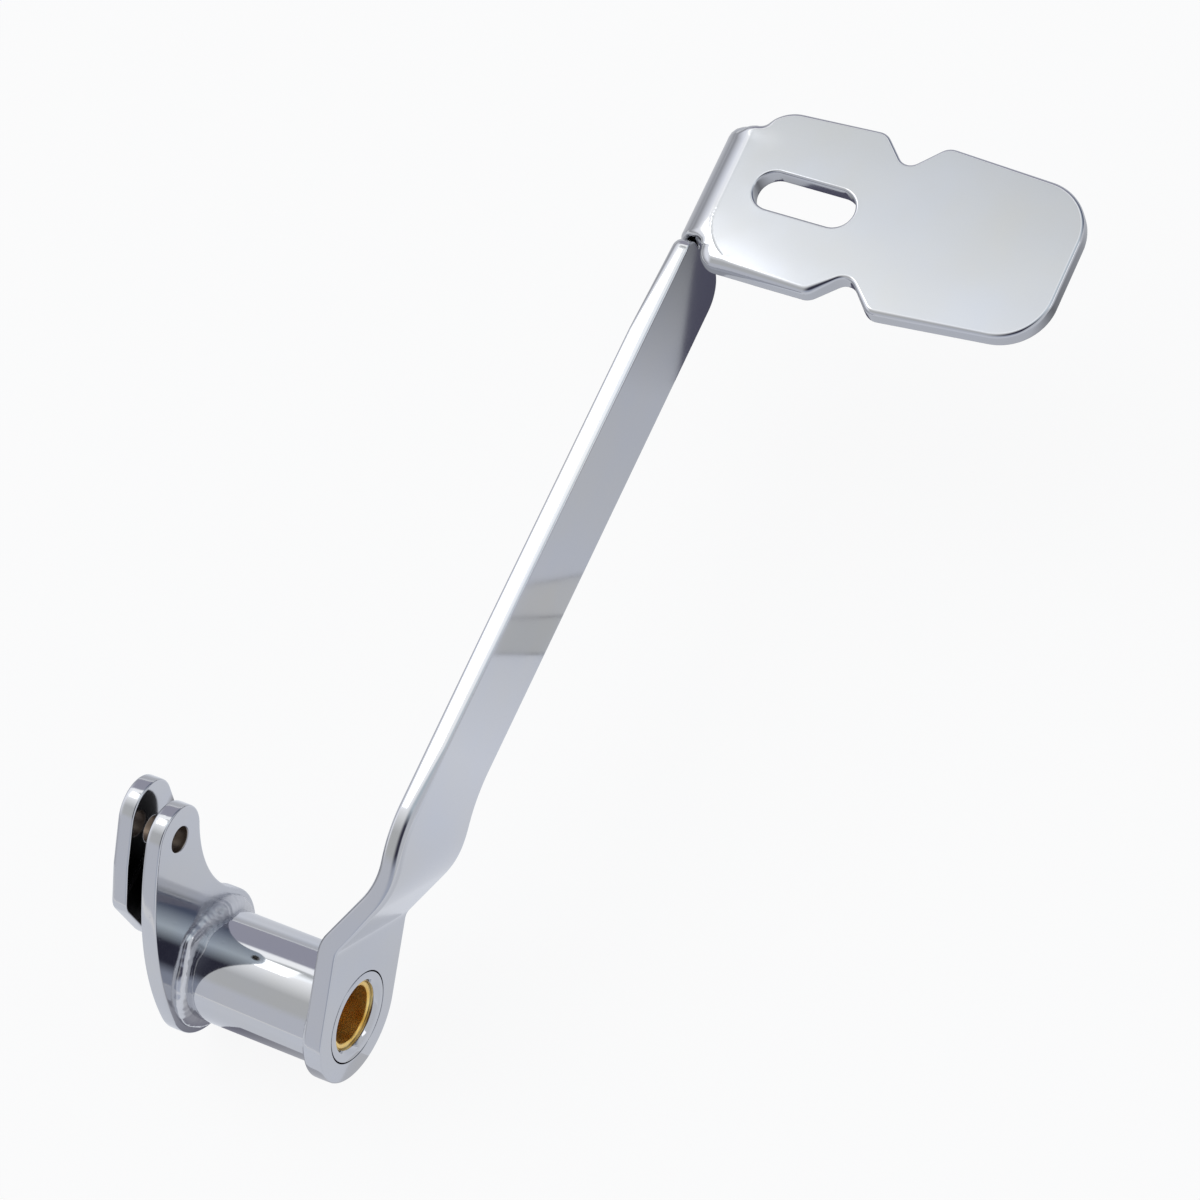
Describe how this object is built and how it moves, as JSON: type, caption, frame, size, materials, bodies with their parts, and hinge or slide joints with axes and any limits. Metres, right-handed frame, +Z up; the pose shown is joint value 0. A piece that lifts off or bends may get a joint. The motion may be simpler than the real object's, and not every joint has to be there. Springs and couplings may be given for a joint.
{
  "type": "rear brake pedal",
  "caption": "Chromed steel brake pedal: a joggled flat arm with a slotted, notched foot pad folded over at its end, on a bushed pivot tube with a clevis for the brake rod.",
  "frame": {"origin": "middle of the pivot bore, half-way between the eye's outboard face and the clevis plate's inboard face", "axes": "+X along the blade from the pivot to the foot pad, +Y along the pivot bore and inboard, from the lever's eye to the clevis, +Z up, square to the pad's top"},
  "size_m": [0.2781, 0.1701, 0.081],
  "materials": {
    "lever_chrome": "polished and chrome plated",
    "pivot_chrome": "turned and chrome plated",
    "clevis_chrome": "ground and chrome plated",
    "weld_chrome": "plated weld bead, lumpy",
    "bushing_bronze": "turned bronze"
  },
  "bodies": {
    "root": {"lever": "lever_chrome", "pivot_tube": "pivot_chrome", "bushing_outboard": "bushing_bronze", "bushing_inboard": "bushing_bronze", "clevis_plate": "clevis_chrome", "clevis_ear": "clevis_chrome", "clevis_spacer": "clevis_chrome", "weld_eye": "weld_chrome", "weld_plate": "weld_chrome", "weld_spacer": "weld_chrome"}
  },
  "joints": []
}
